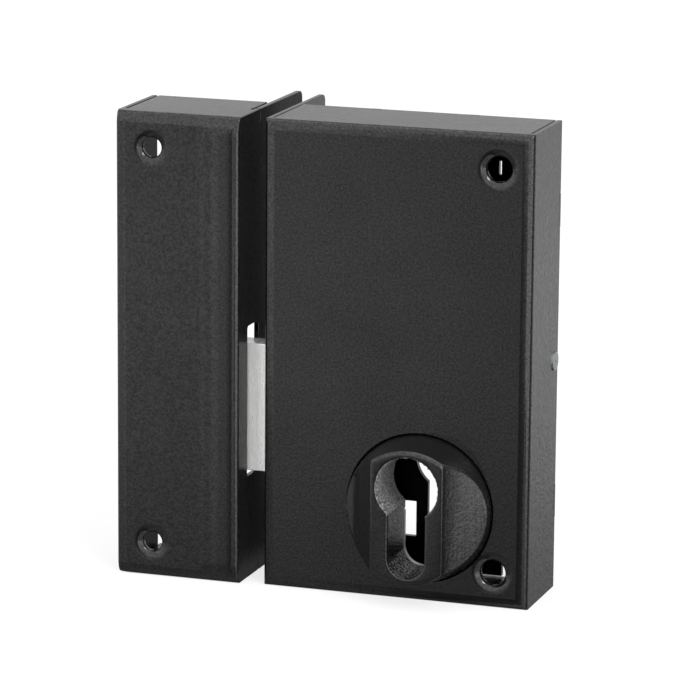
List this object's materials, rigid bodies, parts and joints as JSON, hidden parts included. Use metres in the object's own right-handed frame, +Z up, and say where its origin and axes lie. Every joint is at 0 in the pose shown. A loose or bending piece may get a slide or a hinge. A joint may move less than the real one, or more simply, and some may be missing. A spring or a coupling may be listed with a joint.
{
  "type": "rim lock",
  "caption": "Surface-mounted rim lock for a profile cylinder in black powder coat, bolt thrown into its box strike, with raised cylinder collar and angled edge lips.",
  "frame": {"origin": "centre of the bottom of the whole part's box, case and strike together", "axes": "+X from the strike across the case to its hinge side, +Y from the case front to the door, +Z up"},
  "size_m": [0.1185, 0.0624, 0.13],
  "materials": {
    "black_coat": "fine pebbled powder coat",
    "cast_coat": "powder coat on a casting",
    "zinc_sheet": "zinc plated",
    "bolt_steel": "bright nickel plated",
    "zinc_steel": "zinc plated",
    "screw_zinc": "zinc plated",
    "passivated_steel": "yellow passivated",
    "spring_steel": "oiled spring steel"
  },
  "bodies": {
    "case": {"case_shell": "black_coat", "back_plate": "black_coat", "back_plate_rivet": "zinc_steel", "guide_plate": "zinc_sheet", "guide_plate_rivets": "zinc_steel", "cylinder_collar": "cast_coat", "clamp_plate": "zinc_sheet", "clamp_posts": "zinc_steel", "clamp_screws": "screw_zinc", "collar_screws": "screw_zinc", "guide_stud": "zinc_steel", "tumbler_pivot": "zinc_steel", "stud_clips": "spring_steel", "tumbler_spring": "spring_steel"},
    "bolt": {"bolt_head": "bolt_steel", "tail_plate": "zinc_sheet", "tail_rivets": "zinc_steel"},
    "tumbler": {"tumbler_lever": "passivated_steel", "tumbler_stop_pin": "zinc_steel"},
    "strike": {"strike_box": "black_coat"}
  },
  "joints": [
    {"name": "bolt_throw", "type": "slide", "parent": "case", "child": "bolt", "axis": [1, 0, 0], "range_m": [-0.003, 0.017]},
    {"name": "tumbler_lift", "type": "hinge", "parent": "case", "child": "tumbler", "pos_m": [0.04955, -0.00105, 0.072], "axis": [0, 1, 0], "range_deg": [0, 5], "stiffness_Nm_per_rad": 0.05, "springref_deg": -17.19, "deforming": ["tumbler_spring"]},
    {"name": "strike_part", "type": "slide", "parent": "case", "child": "strike", "axis": [-1, 0, 0], "range_m": [0, 0.03]}
  ]
}
